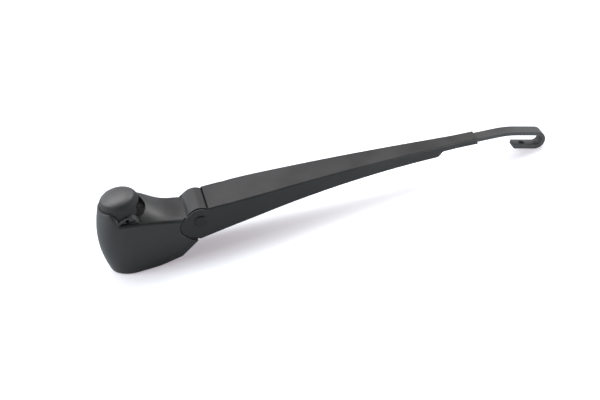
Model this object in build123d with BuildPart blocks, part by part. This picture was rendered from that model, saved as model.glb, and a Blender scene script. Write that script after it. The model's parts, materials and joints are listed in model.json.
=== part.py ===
from build123d import *
import os
from math import atan2, cos, degrees, hypot, radians, sin, sqrt

os.makedirs("parts", exist_ok=True)

# Frame: origin on the spindle axis in the plane of the foot, +X along the arm, +Z up, millimetres

# Head casting, outline levels as height, reach behind the spindle, half width at the spindle
boot_levels = [(0, 20.2, 15.8), (17, 23.1, 17.0), (34, 22.3, 17.0), (48, 18.9, 16.2), (57, 15.6, 15.3)]
hinge_half = 15.6
boot_end = 68.0
boot_wall = 3.5
foot_round = 2.4
foot_flat_end = 10.0
sole_end = (33.5, 4.1)
heel_end = (51.2, 16.0)

# Saddle-shaped deck, stations as distance along the arm, then heights at near edge, crown and far edge
deck_stations = [
    (-22, 44.0, 53.6, 53.0),
    (-11, 43.4, 53.0, 52.6),
    (0, 42.4, 52.4, 52.0),
    (11, 40.4, 51.0, 51.0),
    (22, 38.6, 45.2, 43.2),
    (33, 36.9, 38.9, 37.8),
    (45, 34.9, 35.4, 35.0),
    (58, 33.8, 34.1, 33.8),
]
deck_overlap = 1.0
deck_round = 3.0
hood_foot = (-1.4, 41.0)
hood_crest = (-5.2, 56.0)
hood_lap = 0.8
hood_sweep = 4.0

# Hinge
pivot = (53.5, 29.7)
knuckle_radius = 10.7
ear_play = 0.6
lift = 55.0
lift_steps = 4
ear_corner = (46.4, 26.8)
ear_corner_radius = 8.8
ear_toe = (50.5, 17.2)
ear_toe_radius = 2.5
ear_crown = 10.0
ear_gap = 0.5
pin_radius = 2.5
pin_head_radius = 4.6
pin_head_height = 0.9
pin_head_round = 0.54
running_fit = 0.05
bush_wall = 1.05
bush_inner_end = 4.0
flange_radius = 4.6
flange_thickness = 0.3

# Spindle seat, cap and jet
bore_radius = 4.0
boss_radius = 9.0
boss_bottom = 26.0
well_floor = 43.0
cavity_top = 33.0
cavity_end = 36.0
cap_radius = 14.4
cap_overhang = 2.0
neck_shift = (-1.4, -1.4)
cap_lip = 54.6
cap_wall = 1.8
cap_flank_top = 56.5
cap_top = 63.6
cap_shoulder = 5.0
cap_crown_half = 8.9
cap_vault = 45.0
cap_gap = 0.2
pry_shift = (2.9, -0.3)
jet_x = 2.4
jet_radius = 9.0
jet_drop = 2.3
jet_seat = 0.3
jet_proud = 0.5
jet_depth = 5.0
jet_rim = 1.6
jet_dish = 1.0
jet_orifice = 1.4

# Folded channel
sheet = 1.2
channel_half = 15.5
taper_start = 92.0
taper_end = 256.0
tip_half = 5.9
tip_x = 272.0
taper_round = 300.0
tip_round = 60.0
plate_front = (61.2, 39.05)
plate_knee = (215.0, 30.7)
plate_slope = -0.0865
flange_foot = (60.0, 16.0)
flange_mid = (165.0, 23.3)
flange_step = (238.5, 19.8)
crimp_start = 245.5
crimp_lip = 0.8
fold_round = 1.2

# Hook bar
bar_thickness = 3.0
bar_half = 4.5
bar_gap = 0.05
bar_start = 152.4
anchor_x = 157.7
anchor_z = 28.3
anchor_hole = 1.6
joggle_start = 163.0
joggle_end = 182.0
bend_x = 297.5
bend_radius = 70.0
hook_leg = 25.0
hook_inner = 4.35
return_leg = 17.3
latch_radius = 2.5
latch_inset = 7.5

# Spring, link and link pin
link_throw = 6.5
link_throw_angle = -60.0
link_pin_radius = 1.5
link_pin_half = 9.0
link_half = 1.5
link_eye = 3.0
link_width = 4.4
link_length = 19.0
shank_radius = 1.3
shank_length = 24.0
slot_side = 0.4
slot_gap = 0.6
coil_radius = 3.6
wire_radius = 0.85
coil_offset = 22.0
coil_end = 150.2
plug_length = 5.0
eye_radius = 3.6

# Derived sizes
clear = 80.0
knuckle_half = channel_half - sheet - ear_play
cap_neck = cap_radius - cap_overhang
deck_half = max(half for z, reach, half in boot_levels) + deck_overlap
hood_top = cap_lip + hood_lap
jet_sill = well_floor + jet_seat
jet_height = jet_sill - jet_drop
jet_orifice_height = jet_sill + (jet_radius - jet_drop) / 2
jet_face = cap_radius + jet_proud
jet_back = jet_face - jet_depth
bush_radius = pin_radius + running_fit + bush_wall
link_pivot = (
    pivot[0] + link_throw * cos(radians(link_throw_angle)),
    pivot[1] + link_throw * sin(radians(link_throw_angle)),
)
knuckle_low = (pivot[0], pivot[1] - knuckle_radius)
line_angle = degrees(atan2(anchor_z - link_pivot[1], anchor_x - link_pivot[0]))
knee_length = hypot(1.0, plate_slope)
knee_along = (1.0 / knee_length, plate_slope / knee_length)
knee_down = (plate_slope / knee_length, -1.0 / knee_length)
bar_depth = sheet + bar_gap + bar_thickness / 2
crimp_depth = sheet + bar_gap + bar_thickness + crimp_lip

# Large arc of the top plate, tangent to the straight end at the knee and through the front edge
chord = (plate_front[0] - plate_knee[0], plate_front[1] - plate_knee[1])
plate_radius = hypot(*chord) ** 2 / (2 * (chord[0] * knee_down[0] + chord[1] * knee_down[1]))
plate_centre = (
    plate_knee[0] + plate_radius * knee_down[0],
    plate_knee[1] + plate_radius * knee_down[1],
)


def plate_point(x, depth):
    """Point of the plate's side line at x, moved down from the outer face by depth."""
    knee = (plate_knee[0] + depth * knee_down[0], plate_knee[1] + depth * knee_down[1])
    if x >= knee[0]:
        return (x, knee[1] + plate_slope * (x - knee[0]))
    radius = plate_radius - depth
    return (x, plate_centre[1] + sqrt(radius**2 - (x - plate_centre[0]) ** 2))


def lifted(point, angle):
    """Point of the arm's side view with the arm lifted by angle."""
    dx = point[0] - pivot[0]
    dz = point[1] - pivot[1]
    turn = radians(angle)
    return (pivot[0] + dx * cos(turn) - dz * sin(turn), pivot[1] + dx * sin(turn) + dz * cos(turn))


def ear_outline(grow, angles):
    """Outline round the ear's crown, corner and toe, grown by a clearance, over the given lifts."""
    with Locations(pivot):
        Circle(ear_crown + grow)
    with Locations(*[lifted(ear_corner, angle) for angle in angles]):
        Circle(ear_corner_radius + grow)
    with Locations(*[lifted(ear_toe, angle) for angle in angles]):
        Circle(ear_toe_radius + grow)
    make_hull()


def boot_outline(reach, half, end, end_half):
    """Plan outline of the boot: half ellipse behind the spindle, easing sides, straight end."""
    EllipticalCenterArc((0, 0), reach, half, start_angle=90, arc_size=180)
    Bezier((0, -half), (end / 3, -half), (end / 2, -end_half), (end, -end_half))
    Line((end, -end_half), (end, end_half))
    Bezier((end, end_half), (end / 2, end_half), (end / 3, half), (0, half))


def channel_outline(half, tip):
    """Plan outline of the channel: parallel at the hinge, long taper, parallel crimped tip."""
    for side in (1, -1):
        FilletPolyline(
            (0, side * half),
            (taper_start, side * half),
            (taper_end, side * tip),
            (tip_x + clear, side * tip),
            radius=[taper_round, tip_round],
        )
    Line((0, half), (0, -half))
    Line((tip_x + clear, tip), (tip_x + clear, -tip))


def jet_arch(grow):
    """Arched outline of the jet, grown by a clearance, standing on a level sill."""
    with Locations((jet_x, jet_height)):
        Circle(jet_radius + grow)
    with Locations((jet_x, jet_sill - grow)):
        Rectangle(clear, clear, align=(Align.CENTER, Align.MAX), mode=Mode.SUBTRACT)


# Volume above the saddle-shaped deck
with BuildPart() as deck_cutter:
    for x, near, crown, far in deck_stations:
        with BuildSketch(Plane.YZ.offset(x)):
            with BuildLine():
                rim = ThreePointArc((-deck_half, near), (0, crown), (deck_half, far))
                Polyline(rim @ 1, (deck_half, clear), (-deck_half, clear), rim @ 0)
            make_face()
    loft()
    # Slanted front of the hood that stands round the back of the cap
    with BuildSketch(Plane.XZ):
        with BuildLine():
            Polyline(
                hood_foot,
                hood_crest,
                (hood_crest[0], clear),
                (clear, clear),
                (clear, 0),
                (hood_foot[0], 0),
                close=True,
            )
        make_face()
    extrude(amount=clear, both=True, mode=Mode.INTERSECT)
    valley = deck_cutter.edges().filter_by(lambda e: e.bounding_box().size.Y > deck_half)
    fillet(valley.sort_by(Axis.X)[:2].sort_by(Axis.Z)[0], hood_sweep)

# Hollow inside the boot
with BuildPart() as boot_hollow:
    for z, level in ((-boot_wall, 0), (boot_levels[1][0], 1), (cavity_top, 2)):
        with BuildSketch(Plane.XY.offset(z)):
            with BuildLine():
                boot_outline(
                    boot_levels[level][1] - boot_wall,
                    boot_levels[level][2] - boot_wall,
                    cavity_end,
                    hinge_half - boot_wall,
                )
            make_face()
    loft()

# Cast head
with BuildPart() as arm_head:
    for z, reach, half in boot_levels:
        with BuildSketch(Plane.XY.offset(z)):
            with BuildLine():
                boot_outline(reach, half, boot_end, hinge_half)
            make_face()
    loft()
    fillet(arm_head.edges().group_by(Axis.Z)[0], foot_round)
    # Side view: flat foot and rising sole, up to the hinge
    with BuildSketch(Plane.XZ):
        with BuildLine():
            Polyline(
                (pivot[0], hood_top),
                (-clear, hood_top),
                (-clear, 0),
                (foot_flat_end, 0),
                sole_end,
                heel_end,
                knuckle_low,
                close=True,
            )
        make_face()
    extrude(amount=clear, both=True, mode=Mode.INTERSECT)
    # Deck with a rounded rim
    add(deck_cutter.part, mode=Mode.SUBTRACT)
    sides = arm_head.edges().filter_by(lambda e: e.center().Z > cavity_top)
    sides = sides.filter_by(lambda e: abs(e.center().Y) > boss_radius)
    fillet(sides.filter_by(lambda e: e.bounding_box().size.X > foot_round), deck_round)
    # Round knuckle
    with BuildSketch(Plane.XZ):
        with Locations(pivot):
            Circle(knuckle_radius)
    extrude(amount=knuckle_half, both=True)
    # Hollow with the spindle boss
    add(boot_hollow.part, mode=Mode.SUBTRACT)
    with BuildSketch(Plane.XY.offset(boss_bottom)):
        Circle(boss_radius)
    extrude(amount=cavity_top - boss_bottom)
    with BuildSketch(Plane.XY.offset(boss_bottom)):
        Circle(bore_radius)
    extrude(amount=clear, mode=Mode.SUBTRACT)
    # Cap well with the prying recess beside it
    with BuildSketch(Plane.XY.offset(well_floor)):
        with Locations((0, 0), pry_shift):
            Circle(cap_radius + cap_gap)
    extrude(amount=clear, mode=Mode.SUBTRACT)
    # Pocket in front of the jet
    with BuildSketch(Plane.XZ.offset(jet_back)):
        jet_arch(cap_gap)
    extrude(amount=jet_face + cap_gap - jet_back, mode=Mode.SUBTRACT)
    # Pockets for the ears, wide enough for their swing
    for side in (1, -1):
        with BuildSketch(Plane.XZ.offset(side * knuckle_half)):
            ear_outline(ear_gap, [lift * step / lift_steps for step in range(lift_steps + 1)])
            with Locations((pivot[0], pivot[1] - knuckle_radius)):
                Rectangle(clear, 2 * knuckle_radius + ear_gap, align=(Align.MIN, Align.MIN))
        extrude(amount=side * clear, mode=Mode.SUBTRACT)
    # Hinge bore, link pin hole and link slot
    with BuildSketch(Plane.XZ):
        with Locations(pivot):
            Circle(bush_radius)
        with Locations(link_pivot):
            Circle(link_pin_radius)
    extrude(amount=clear, both=True, mode=Mode.SUBTRACT)
    with BuildSketch(Plane.XZ):
        with Locations(link_pivot):
            Circle(link_eye + slot_gap)
            for step in range(lift_steps + 1):
                Rectangle(
                    link_length,
                    link_width + 2 * slot_gap,
                    rotation=line_angle + lift * step / lift_steps,
                    align=(Align.MIN, Align.CENTER),
                )
    extrude(amount=link_half + slot_side, both=True, mode=Mode.SUBTRACT)
arm_head.part.label = "arm_head"
export_step(arm_head.part, "parts/arm_head.step")

# Domed cap over the spindle end, on a hollow neck set back from the prying recess
with BuildPart() as pivot_cap:
    with BuildSketch(Plane.XZ):
        with BuildLine():
            Polyline((0, cap_top), (0, cap_lip), (cap_radius, cap_lip), (cap_radius, cap_flank_top))
            Bezier(
                (cap_radius, cap_flank_top),
                (cap_radius, cap_flank_top + cap_shoulder),
                (cap_crown_half, cap_top),
                (0, cap_top),
            )
        make_face()
    revolve(axis=Axis.Z)
    with BuildSketch(Plane.XY.offset(well_floor)):
        with Locations(neck_shift):
            Circle(cap_neck)
    extrude(amount=cap_lip - well_floor)
    with BuildSketch(Plane.XY.offset(well_floor)):
        with Locations(neck_shift):
            Circle(cap_neck - cap_wall)
    extrude(amount=cap_flank_top - well_floor, mode=Mode.SUBTRACT)
    with BuildSketch(Plane.XY.offset(cap_flank_top)):
        with Locations(neck_shift):
            Circle(cap_neck - cap_wall)
    extrude(amount=(cap_top - cap_flank_top) / 2, taper=cap_vault, mode=Mode.SUBTRACT)
    with BuildSketch(Plane.XZ.offset(jet_back)):
        jet_arch(0)
    extrude(amount=clear, mode=Mode.SUBTRACT)
pivot_cap.part.label = "pivot_cap"
export_step(pivot_cap.part, "parts/pivot_cap.step")

# Arched insert in the flank of the cap, with a dished face and a small orifice
with BuildPart() as jet_insert:
    with BuildSketch(Plane.XZ.offset(jet_back)):
        jet_arch(0)
    extrude(amount=jet_face - jet_back)
    with BuildSketch(Plane.XZ.offset(jet_face)):
        jet_arch(-jet_rim)
    extrude(amount=-jet_dish, mode=Mode.SUBTRACT)
    with BuildSketch(Plane.XZ.offset(jet_back)):
        with Locations((jet_x, jet_orifice_height)):
            Circle(jet_orifice)
    extrude(amount=clear, mode=Mode.SUBTRACT)
jet_insert.part.label = "jet_insert"
export_step(jet_insert.part, "parts/jet_insert.step")

# Space inside the folded channel, open above between the ears
inner_half = channel_half - sheet
inner_tip = tip_half - sheet
with BuildPart() as channel_space:
    with BuildSketch(Plane.XZ):
        with BuildLine():
            under_front = plate_point(plate_front[0], sheet)
            under_knee = plate_point(plate_knee[0] + sheet * knee_down[0], sheet)
            under_tip = plate_point(tip_x + clear, sheet)
            Polyline(
                under_front,
                (plate_front[0], clear),
                (0, clear),
                (0, 0),
                (under_tip[0], 0),
                under_tip,
                under_knee,
            )
            TangentArc(under_knee, under_front, tangent=(-knee_along[0], -knee_along[1]))
        make_face()
    extrude(amount=clear, both=True)
    with BuildSketch(Plane.XY):
        with BuildLine():
            channel_outline(inner_half, inner_tip)
        make_face()
    extrude(amount=clear, mode=Mode.INTERSECT)

# Folded channel with its two ears and crimped tip
with BuildPart() as arm_channel:
    with BuildSketch(Plane.XZ):
        with BuildLine():
            tip_top = plate_point(tip_x, 0)
            tip_low = plate_point(tip_x, crimp_depth)
            crimp_low = plate_point(crimp_start, crimp_depth)
            step_width = crimp_start - flange_step[0]
            TangentArc(plate_knee, plate_front, tangent=(-knee_along[0], -knee_along[1]))
            Polyline(plate_knee, tip_top, tip_low, crimp_low)
            Bezier(
                crimp_low,
                (crimp_start - 0.5 * step_width, crimp_low[1] - 0.5 * step_width * plate_slope),
                (crimp_start - 0.5 * step_width, flange_step[1]),
                flange_step,
            )
            ThreePointArc(flange_step, flange_mid, flange_foot)
            Polyline(flange_foot, (ear_toe[0], ear_toe[1] - ear_toe_radius), pivot, plate_front)
        make_face()
        with BuildSketch(mode=Mode.PRIVATE) as ear:
            ear_outline(0, [0])
        add(ear.sketch)
    extrude(amount=clear, both=True)
    with BuildSketch(Plane.XY):
        with BuildLine():
            channel_outline(channel_half, tip_half)
        make_face()
    extrude(amount=clear, mode=Mode.INTERSECT)
    # Folded edges along the top plate
    folds = arm_channel.edges().filter_by(lambda e: e.bounding_box().min.Z > tip_top[1] - sheet)
    folds = folds.filter_by(lambda e: e.bounding_box().min.X > plate_front[0] - sheet)
    fillet(folds.filter_by(lambda e: e.bounding_box().size.X > sheet), fold_round)
    add(channel_space.part, mode=Mode.SUBTRACT)
    with BuildSketch(Plane.XZ):
        with Locations(pivot):
            Circle(pin_radius)
    extrude(amount=clear, both=True, mode=Mode.SUBTRACT)
arm_channel.part.label = "arm_channel"
export_step(arm_channel.part, "parts/arm_channel.step")

# Flat bar: joggled inner end, straight run under the plate, bend and hook
with BuildPart() as hook_bar:
    with BuildSketch(Plane.XZ):
        with BuildLine() as bar_path:
            rise = plate_point(joggle_end, bar_depth)
            knee = plate_point(plate_knee[0] + bar_depth * knee_down[0], bar_depth)
            bend = plate_point(bend_x, bar_depth)
            joggle_mid = (joggle_start + joggle_end) / 2
            Line((bar_start, anchor_z), (joggle_start, anchor_z))
            Bezier((joggle_start, anchor_z), (joggle_mid, anchor_z), (joggle_mid, rise[1]), rise)
            TangentArc(knee, rise, tangent=(-knee_along[0], -knee_along[1]))
            hook_mid = hook_inner + bar_thickness / 2
            hook_outer = hook_inner + bar_thickness
            dive = 0.0
            for _ in range(20):
                dive = (bend[1] - hook_outer - hook_mid * sqrt(1 - dive**2)) / hook_leg
            dive_angle = degrees(atan2(-dive, sqrt(1 - dive**2)))
            dive_along = (cos(radians(dive_angle)), sin(radians(dive_angle)))
            dive_down = (sin(radians(dive_angle)), -cos(radians(dive_angle)))
            leg_end = (bend[0] + hook_leg * dive_along[0], bend[1] + hook_leg * dive_along[1])
            FilletPolyline(knee, bend, leg_end, radius=bend_radius)
            turn = JernArc(leg_end, dive_along, hook_mid, -180)
            PolarLine(turn @ 1, return_leg, angle=dive_angle + 180)
        trace(line_width=bar_thickness)
    extrude(amount=bar_half, both=True)
    with BuildSketch(Plane.XY):
        with Locations((anchor_x, 0)):
            Circle(anchor_hole)
    extrude(amount=clear, mode=Mode.SUBTRACT)
    latch_back = return_leg - latch_inset
    latch_plane = Plane(
        origin=(
            leg_end[0] + 2 * hook_mid * dive_down[0] - latch_back * dive_along[0],
            0,
            leg_end[1] + 2 * hook_mid * dive_down[1] - latch_back * dive_along[1],
        ),
        z_dir=(dive_down[0], 0, dive_down[1]),
    )
    with BuildSketch(latch_plane):
        Circle(latch_radius)
    extrude(amount=bar_thickness, both=True, mode=Mode.SUBTRACT)
hook_bar.part.label = "hook_bar"
export_step(hook_bar.part, "parts/hook_bar.step")

# Riveted hinge pin
with BuildPart() as hinge_pin:
    with BuildSketch(Plane.XZ):
        with Locations(pivot):
            Circle(pin_radius)
    extrude(amount=channel_half, both=True)
    for side in (1, -1):
        with BuildSketch(Plane.XZ.offset(side * channel_half)):
            with Locations(pivot):
                Circle(pin_head_radius)
        extrude(amount=side * pin_head_height)
    fillet(hinge_pin.edges().group_by(Axis.Y)[0], pin_head_round)
    fillet(hinge_pin.edges().group_by(Axis.Y)[-1], pin_head_round)
hinge_pin.part.label = "hinge_pin"
export_step(hinge_pin.part, "parts/hinge_pin.step")

# Flanged bush on the near side
with BuildPart() as hinge_bush_near:
    with BuildSketch(Plane.XZ.offset(bush_inner_end)):
        with Locations(pivot):
            Circle(bush_radius)
            Circle(pin_radius + running_fit, mode=Mode.SUBTRACT)
    extrude(amount=knuckle_half - bush_inner_end)
    with BuildSketch(Plane.XZ.offset(knuckle_half)):
        with Locations(pivot):
            Circle(flange_radius)
            Circle(pin_radius + running_fit, mode=Mode.SUBTRACT)
    extrude(amount=flange_thickness)
hinge_bush_near.part.label = "hinge_bush_near"
export_step(hinge_bush_near.part, "parts/hinge_bush_near.step")

# Flanged bush on the far side
with BuildPart() as hinge_bush_far:
    with BuildSketch(Plane.XZ.offset(-bush_inner_end)):
        with Locations(pivot):
            Circle(bush_radius)
            Circle(pin_radius + running_fit, mode=Mode.SUBTRACT)
    extrude(amount=bush_inner_end - knuckle_half)
    with BuildSketch(Plane.XZ.offset(-knuckle_half)):
        with Locations(pivot):
            Circle(flange_radius)
            Circle(pin_radius + running_fit, mode=Mode.SUBTRACT)
    extrude(amount=-flange_thickness)
hinge_bush_far.part.label = "hinge_bush_far"
export_step(hinge_bush_far.part, "parts/hinge_bush_far.step")

# Link pin
with BuildPart() as link_pin:
    with BuildSketch(Plane.XZ):
        with Locations(link_pivot):
            Circle(link_pin_radius)
    extrude(amount=link_pin_half, both=True)
link_pin.part.label = "link_pin"
export_step(link_pin.part, "parts/link_pin.step")

# Line of pull, from the link pin to the anchor hole
pull = (cos(radians(line_angle)), 0, sin(radians(line_angle)))


def pull_point(distance):
    """Point on the line of pull at a distance from the link pin."""
    return (link_pivot[0] + distance * pull[0], 0, link_pivot[1] + distance * pull[2])


# Flat link with a round shank that enters the coil
with BuildPart() as spring_link:
    with BuildSketch(Plane.XZ):
        with Locations(link_pivot):
            Circle(link_eye)
            Rectangle(link_length, link_width, rotation=line_angle, align=(Align.MIN, Align.CENTER))
            Circle(link_pin_radius + running_fit, mode=Mode.SUBTRACT)
    extrude(amount=link_half, both=True)
    with BuildSketch(Plane(origin=pull_point(link_length), x_dir=(0, 1, 0), z_dir=pull)):
        Circle(shank_radius)
    extrude(amount=shank_length)
spring_link.part.label = "spring_link"
export_step(spring_link.part, "parts/spring_link.step")

# Close-wound spring drawn as a tube, with a plugged end and an eye through the anchor hole
coil_length = (coil_end - link_pivot[0]) / pull[0] - coil_offset
with BuildPart() as tension_spring:
    with BuildSketch(Plane(origin=pull_point(coil_offset), x_dir=(0, 1, 0), z_dir=pull)):
        Circle(coil_radius + wire_radius)
    extrude(amount=coil_length)
    with BuildSketch(Plane(origin=pull_point(coil_offset), x_dir=(0, 1, 0), z_dir=pull)):
        Circle(coil_radius - wire_radius)
    extrude(amount=coil_length - plug_length, mode=Mode.SUBTRACT)
    with BuildSketch(Plane.XY.offset(anchor_z)):
        with Locations((anchor_x, 0)):
            Circle(wire_radius)
    revolve(axis=Axis((anchor_x - eye_radius, 0, anchor_z), (0, 1, 0)))
tension_spring.part.label = "tension_spring"
export_step(tension_spring.part, "parts/tension_spring.step")
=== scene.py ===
import json
import math

import bpy
from mathutils import Matrix, Vector


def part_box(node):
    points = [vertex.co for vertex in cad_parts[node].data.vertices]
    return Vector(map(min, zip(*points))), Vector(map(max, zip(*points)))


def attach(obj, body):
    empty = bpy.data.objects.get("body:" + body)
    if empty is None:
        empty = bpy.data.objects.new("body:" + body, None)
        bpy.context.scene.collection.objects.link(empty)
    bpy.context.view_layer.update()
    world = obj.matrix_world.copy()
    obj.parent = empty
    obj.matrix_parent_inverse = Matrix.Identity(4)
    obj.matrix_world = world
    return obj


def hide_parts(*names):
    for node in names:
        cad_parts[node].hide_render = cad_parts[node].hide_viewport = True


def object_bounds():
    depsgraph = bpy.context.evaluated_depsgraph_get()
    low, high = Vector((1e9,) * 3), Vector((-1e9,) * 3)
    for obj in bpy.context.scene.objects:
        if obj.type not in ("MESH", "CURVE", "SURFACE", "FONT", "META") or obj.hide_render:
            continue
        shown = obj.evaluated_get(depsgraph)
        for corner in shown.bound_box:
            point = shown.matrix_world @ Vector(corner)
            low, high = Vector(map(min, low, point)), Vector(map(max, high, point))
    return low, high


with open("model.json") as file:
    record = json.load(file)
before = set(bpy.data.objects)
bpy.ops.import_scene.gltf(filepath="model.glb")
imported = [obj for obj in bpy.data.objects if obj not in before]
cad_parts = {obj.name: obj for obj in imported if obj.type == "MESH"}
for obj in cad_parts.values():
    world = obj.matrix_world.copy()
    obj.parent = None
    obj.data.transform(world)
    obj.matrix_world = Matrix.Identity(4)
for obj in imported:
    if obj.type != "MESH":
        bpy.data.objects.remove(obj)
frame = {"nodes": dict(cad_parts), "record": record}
cad_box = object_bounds()


# Shader maths on sockets
class Sock:
    """An output of a shader tree that can be added, multiplied and fed to other nodes."""

    def __init__(self, tree, out):
        self.tree = tree
        self.out = out

    def node(self, kind, sockets, out=0, **settings):
        """Adds any node: its settings first, then the values or links of its sockets."""
        made = self.tree.nodes.new(kind)
        for key, value in settings.items():
            setattr(made, key, value)
        for key, value in sockets.items():
            plug(made.inputs[key], value)
        return Sock(self.tree, made.outputs[out])

    def math(self, operation, first, second):
        return self.node("ShaderNodeMath", {0: first, 1: second}, operation=operation)

    def __add__(self, other):
        return self.math("ADD", self, other)

    def __radd__(self, other):
        return self.math("ADD", other, self)

    def __sub__(self, other):
        return self.math("SUBTRACT", self, other)

    def __rsub__(self, other):
        return self.math("SUBTRACT", other, self)

    def __mul__(self, other):
        return self.math("MULTIPLY", self, other)

    def __rmul__(self, other):
        return self.math("MULTIPLY", other, self)


def plug(socket, value):
    """Links a wrapped socket or sets a constant."""
    if isinstance(value, Sock):
        value.tree.links.new(value.out, socket)
    else:
        socket.default_value = value


def source(tree, kind, out):
    """An output of a node that needs no inputs."""
    return Sock(tree, None).node(kind, {}, out)


def rise(value, low, high):
    """Smooth step from 0 at low to 1 at high."""
    return value.node("ShaderNodeMapRange", {0: value, 1: low, 2: high}, interpolation_type="SMOOTHSTEP")


def blend(factor, first, second):
    """Colour between first and second. The Mix node has its colours in sockets 6 and 7 and in output 2."""
    return factor.node("ShaderNodeMix", {0: factor, 6: first, 7: second}, out=2, data_type="RGBA")


def cloud(place, scale, detail=3.0):
    """Soft noise, about 0.3 to 0.7."""
    return place.node("ShaderNodeTexNoise", {"Vector": place, "Scale": scale, "Detail": detail})


def mottle(place, scale):
    """Soft patches, 0 to 1."""
    return rise(cloud(place, scale), 0.32, 0.68)


def axis_of(vector, which):
    """The X, Y or Z of a vector."""
    return vector.node("ShaderNodeSeparateXYZ", {"Vector": vector}, out=which)


def compare(operation, first, second):
    """A number made from two vectors, such as their distance."""
    return first.node("ShaderNodeVectorMath", {0: first, 1: second}, out="Value", operation=operation)


def grey(level, tint=(1.0, 1.0, 1.0)):
    """A grey of the given level, slightly coloured by the tint."""
    return tuple(level * part for part in tint) + (1.0,)


def start_material(name):
    """A new material with its Principled shader and its object coordinates."""
    mat = bpy.data.materials.new(name)
    mat.use_nodes = True
    tree = mat.node_tree
    return mat, tree.nodes["Principled BSDF"].inputs, source(tree, "ShaderNodeTexCoord", "Object")


# Finishes
cool = (0.96, 1.0, 1.02)
warm = (1.0, 0.98, 0.95)
dust_tone = grey(0.26, warm)
worn_tone = grey(0.09)
# Near-black tone of the painted shade on the cap's flank below its crown
painted_shade_tone = grey(0.015, cool)
patch_scale = 42.0
speck_scale = 1100.0
wear_scale = 260.0
grain_height = 0.00012
painted_shade_fade = 0.0016
edge_samples = 6


def satin_black(name, level, rough, shine, grain, depth, dust, soft_edge, shade_below=None, spots=()):
    """Satin black coat: uneven tone, fine grain, softened worn edges, a film of dust on faces that look up.

    Below a given height the piece is painted darker, as painted shade, and made rougher. Each of the spots
    is a place, the distances from it at which the spot starts and ends to fade, and the tone painted there:
    dark for painted shade, pale for painted light.
    """
    mat, inputs, place = start_material(name)
    normal = source(place.tree, "ShaderNodeNewGeometry", "Normal")
    up = axis_of(normal, "Z")
    patches = mottle(place, patch_scale)
    specks = rise(cloud(place, speck_scale, 2.0), 0.67, 0.74)
    rounded = place.node("ShaderNodeBevel", {"Radius": soft_edge}, samples=edge_samples)
    bend = 1.0 - compare("DOT_PRODUCT", rounded, normal)
    worn = rise(bend, 0.04, 0.3) * rise(cloud(place, wear_scale), 0.42, 0.62)
    film = rise(up, 0.35, 1.0) * (0.45 + 0.55 * patches) * dust + specks * rise(up, 0.0, 0.8) * (0.6 * dust)
    coat = blend(patches, grey(0.86 * level, cool), grey(1.14 * level, cool))
    rubbed = blend(0.18 * worn, coat, worn_tone)
    colour = blend(film, rubbed, dust_tone)
    roughness = rough + 0.1 * patches + 0.25 * film - 0.05 * worn
    # Painted shade: below the height the colour fades to near black, and the coat is also made rougher
    if shade_below:
        painted_shade = rise(shade_below - axis_of(place, "Z"), 0.0, painted_shade_fade)
        colour = blend(painted_shade, colour, painted_shade_tone)
        roughness = roughness + 0.4 * painted_shade
    # Painted spots: each fades in towards its centre, with a tone that paints shade or light there
    for centre, full, faded, tone in spots:
        painted_spot = 1.0 - rise(compare("DISTANCE", place, centre), full, faded)
        colour = blend(painted_spot, colour, tone)
        roughness = roughness + 0.25 * painted_spot
    bump = place.node(
        "ShaderNodeBump",
        {"Strength": depth, "Distance": grain_height, "Height": cloud(place, grain, 4.0), "Normal": rounded},
    )
    plug(inputs["Base Color"], colour)
    plug(inputs["Roughness"], roughness)
    plug(inputs["Normal"], bump)
    plug(inputs["Specular IOR Level"], shine)
    return mat


def bare_steel(name, level, rough, streaks):
    """Plain steel with fine drawing marks and a faint oil film."""
    mat, inputs, place = start_material(name)
    oil = mottle(place, 120.0)
    marks = rise(cloud(place, streaks, 5.0), 0.35, 0.65)
    plug(inputs["Base Color"], blend(oil, grey(0.8 * level), grey(1.1 * level, warm)))
    plug(inputs["Roughness"], rough + 0.12 * marks - 0.08 * oil)
    plug(inputs["Metallic"], 1.0)
    return mat


def moulded(name, tint, rough):
    """Natural moulded plastic, slightly mottled."""
    mat, inputs, place = start_material(name)
    patches = mottle(place, 90.0)
    plug(inputs["Base Color"], blend(patches, grey(1.0, tint), grey(1.15, tint)))
    plug(inputs["Roughness"], rough + 0.1 * patches)
    return mat


# The cap is painted darker below its crown as painted shade. In the prying recess beside it the lit floor
# is painted dark as painted shade and the shaded far wall is painted pale as painted light
unshaded_crown = 0.0019
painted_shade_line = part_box("pivot_cap")[1][2] - unshaded_crown
recess_floor_shade_centre = (0.0133, 0.0005, 0.043)
recess_wall_light_centre = (0.0146, 0.0085, 0.0445)
# Near-black spot paints shade on the recess's lit floor; pale spot paints light on its shaded far wall
recess_painted_spots = (
    (recess_floor_shade_centre, 0.0045, 0.0075, grey(0.005)),
    (recess_wall_light_centre, 0.002, 0.0046, grey(0.1)),
)
casting = satin_black(
    "casting coat", level=0.018, rough=0.37, shine=0.45, grain=1400.0, depth=0.35, dust=0.05,
    soft_edge=0.001, spots=recess_painted_spots,
)
cap_black = satin_black(
    "cap black", level=0.036, rough=0.36, shine=0.56, grain=1900.0, depth=0.2, dust=0.10,
    soft_edge=0.0004, shade_below=painted_shade_line,
)
jet_black = satin_black(
    "jet black", level=0.028, rough=0.40, shine=0.45, grain=1900.0, depth=0.2, dust=0.06, soft_edge=0.0003,
)
rivet_black = satin_black(
    "rivet coat", level=0.012, rough=0.42, shine=0.32, grain=1500.0, depth=0.3, dust=0.05, soft_edge=0.0003,
)
channel_black = satin_black(
    "channel coat", level=0.015, rough=0.40, shine=0.37, grain=1600.0, depth=0.28, dust=0.05,
    soft_edge=0.0004,
)
bar_black = satin_black(
    "bar coat", level=0.024, rough=0.40, shine=0.41, grain=1600.0, depth=0.28, dust=0.06, soft_edge=0.0004,
)
bush_white = moulded("bush plastic", tint=(0.42, 0.4, 0.35), rough=0.5)
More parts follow.
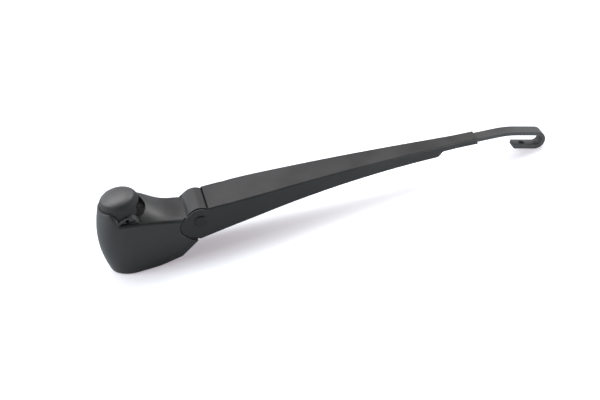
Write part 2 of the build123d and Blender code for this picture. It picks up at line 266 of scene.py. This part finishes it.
spring_wire = bare_steel("spring wire", level=0.36, rough=0.32, streaks=900.0)
link_steel = bare_steel("link steel", level=0.42, rough=0.4, streaks=500.0)
ground_pin = bare_steel("ground pin", level=0.48, rough=0.28, streaks=1200.0)
finishes = {
    "arm_head": casting,
    "pivot_cap": cap_black,
    "jet_insert": jet_black,
    "hinge_pin": rivet_black,
    "arm_channel": channel_black,
    "hook_bar": bar_black,
    "hinge_bush_near": bush_white,
    "hinge_bush_far": bush_white,
    "tension_spring": spring_wire,
    "spring_link": link_steel,
    "link_pin": ground_pin,
}
for name, obj in frame["nodes"].items():
    obj.data.materials.clear()
    obj.data.materials.append(finishes[name])

# Wound spring in place of the plain tube
coil_radius = 0.0036
wire_radius = 0.00085
winding_pitch = 2.02 * wire_radius
coil_offset = 0.022
coil_end_gap = 0.0039
points_per_turn = 20
wire_roundness = 2
tube_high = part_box("tension_spring")[1]
reach = coil_radius + wire_radius
eye_centre = Vector((tube_high[0] - reach, 0.0, tube_high[2] - reach))
anchor = eye_centre + Vector((coil_radius, 0.0, 0.0))
joints = {joint["name"]: joint for joint in frame["record"]["behaviour"]["joints"]}
link_centre = Vector(joints["link_swing"]["pos_m"])
pull = (anchor - link_centre).normalized()


def spring_points(start, end):
    """A close winding from start to end, which closes in and runs on into a ring round the eye."""
    along = end - start
    turns = round(along.length / winding_pitch)
    count = turns * points_per_turn
    side = Vector((0.0, 1.0, 0.0))
    over = along.normalized().cross(side)
    points = []
    for step in range(count + 1):
        angle = 2.0 * math.pi * step / points_per_turn
        closing = min(1.0, (count - step) / points_per_turn)
        radius = coil_radius * math.sqrt(closing)
        spoke = math.cos(angle) * side + math.sin(angle) * over
        points.append(start + along * (step / count) + radius * spoke)
    for step in range(points_per_turn + 1):
        angle = math.pi - 2.0 * math.pi * step / points_per_turn
        points.append(eye_centre + coil_radius * Vector((math.cos(angle), 0.0, math.sin(angle))))
    return points


def wire_along(name, points, radius, finish):
    """A round wire that follows the points."""
    curve = bpy.data.curves.new(name, "CURVE")
    curve.dimensions = "3D"
    curve.bevel_depth = radius
    curve.bevel_resolution = wire_roundness
    curve.use_fill_caps = True
    spline = curve.splines.new("POLY")
    spline.points.add(len(points) - 1)
    for spot, point in zip(spline.points, points):
        spot.co = (*point, 1.0)
    curve.materials.append(finish)
    wire = bpy.data.objects.new(name, curve)
    bpy.context.collection.objects.link(wire)
    return wire


coil_start = link_centre + coil_offset * pull
coil_end = eye_centre - coil_end_gap * pull
coil = wire_along("spring_coil", spring_points(coil_start, coil_end), wire_radius, spring_wire)
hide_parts("tension_spring")
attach(coil, "arm")

# White table, lifted to plain white for the camera but still holding the shadow. The lift is uneven: it is
# weaker at the head and towards the hook, which paints the shadow darker there, and stronger along the arm,
# which paints it lighter
floor_size = 6.0
table_tint = (0.93, 1.0, 1.03)
lift_near_head = grey(0.34, (1.06, 0.96, 1.04))
lift_along_arm = grey(0.68, (1.03, 0.99, 1.02))
bpy.ops.mesh.primitive_plane_add(size=floor_size, location=(cad_box[1][0] / 2, 0.0, 0.0))
floor = bpy.context.object
floor.name = "floor"
table_white, inputs, place = start_material("table white")
table_base = blend(rise(cloud(place, 3.0), 0.3, 0.7), grey(0.66, table_tint), grey(0.68, table_tint))
lengthwise = axis_of(place, "X")
# Painted shadow strength: the camera lift is low at the head, high along the arm and lower again towards the
# hook
painted_shadow_spread = rise(lengthwise, -0.12, 0.06) - 0.7 * rise(lengthwise, 0.1, 0.15)
lift = blend(painted_shadow_spread, lift_near_head, lift_along_arm)
seen = source(place.tree, "ShaderNodeLightPath", "Is Camera Ray")
plug(inputs["Base Color"], table_base)
plug(inputs["Emission Color"], blend(seen, grey(0.0), lift))
plug(inputs["Emission Strength"], 1.0)
plug(inputs["Roughness"], 0.7)
plug(inputs["Specular IOR Level"], 0.0)
floor.data.materials.append(table_white)


# Light: a soft box overhead, a window on each side and two low cards
def soft_box(name, place, aim, size, power, tint=(1.0, 1.0, 1.0)):
    """A rectangular area lamp that looks from its place to its aim."""
    lamp = bpy.data.lights.new(name, "AREA")
    lamp.shape = "RECTANGLE"
    lamp.size = size[0]
    lamp.size_y = size[1]
    lamp.energy = power
    lamp.color = tint
    box = bpy.data.objects.new(name, lamp)
    bpy.context.collection.objects.link(box)
    box.location = place
    box.rotation_euler = (Vector(aim) - Vector(place)).to_track_quat("-Z", "Y").to_euler()


soft_box(
    "overhead box", (-0.08, 0.42, 0.95), aim=(0.03, 0.0, 0.0), size=(0.9, 0.7), power=8.0,
    tint=(1.0, 0.97, 1.0),
)
soft_box("left window", (-0.75, 0.1, 0.55), aim=(0.0, 0.0, 0.03), size=(0.4, 0.5), power=6.0)
soft_box("right window", (0.8, 0.42, 0.75), aim=(0.08, 0.0, 0.03), size=(0.35, 0.35), power=4.6)
soft_box("front card", (0.5, -0.26, 0.045), aim=(0.42, 0.0, 0.02), size=(0.3, 0.07), power=1.6)
soft_box("left card", (-0.4, -0.1, 0.08), aim=(0.0, 0.0, 0.03), size=(0.15, 0.1), power=0.35, tint=cool)

# Pale room, brightest on the far left and dark on the camera's side
bright_wall = grey(1.2, cool)
dim_wall = grey(0.4, (1.04, 0.97, 1.04))
near_wall = grey(0.075, cool)
world = bpy.data.worlds.new("room")
bpy.context.scene.world = world
world.use_nodes = True
backdrop = world.node_tree.nodes["Background"].inputs
way = source(world.node_tree, "ShaderNodeTexCoord", "Generated")
sideways = axis_of(way, "X")
ahead = rise(axis_of(way, "Y"), -0.5, 0.6)
across = rise(sideways, -0.6, 0.35) - rise(sideways, 0.45, 0.65)
plug(backdrop["Color"], blend(ahead, near_wall, blend(across, bright_wall, dim_wall)))
plug(backdrop["Strength"], 1.0)

# Camera as fitted to the photo
azimuth = math.radians(-6.75)
elevation = math.radians(36.0)
roll = math.radians(12.14)
distance = 0.90914
target = Vector((0.13015, 0.0, 0.01206))
focal_px = 1197.28
picture_width = 600
back = Vector((
    math.sin(azimuth) * math.cos(elevation),
    -math.cos(azimuth) * math.cos(elevation),
    math.sin(elevation),
))
flat_right = Vector((math.cos(azimuth), math.sin(azimuth), 0.0))
flat_top = back.cross(flat_right)
right = flat_right * math.cos(roll) - flat_top * math.sin(roll)
top = flat_right * math.sin(roll) + flat_top * math.cos(roll)
lens = bpy.data.cameras.new("camera")
lens.sensor_fit = "HORIZONTAL"
lens.sensor_width = 36.0
lens.lens = focal_px * lens.sensor_width / picture_width
lens.clip_start = 0.01
camera = bpy.data.objects.new("camera", lens)
bpy.context.collection.objects.link(camera)
pose = Matrix((right, top, back)).transposed().to_4x4()
pose.translation = target + back * distance
camera.matrix_world = pose
bpy.context.scene.camera = camera
bpy.context.scene.view_settings.view_transform = "Standard"
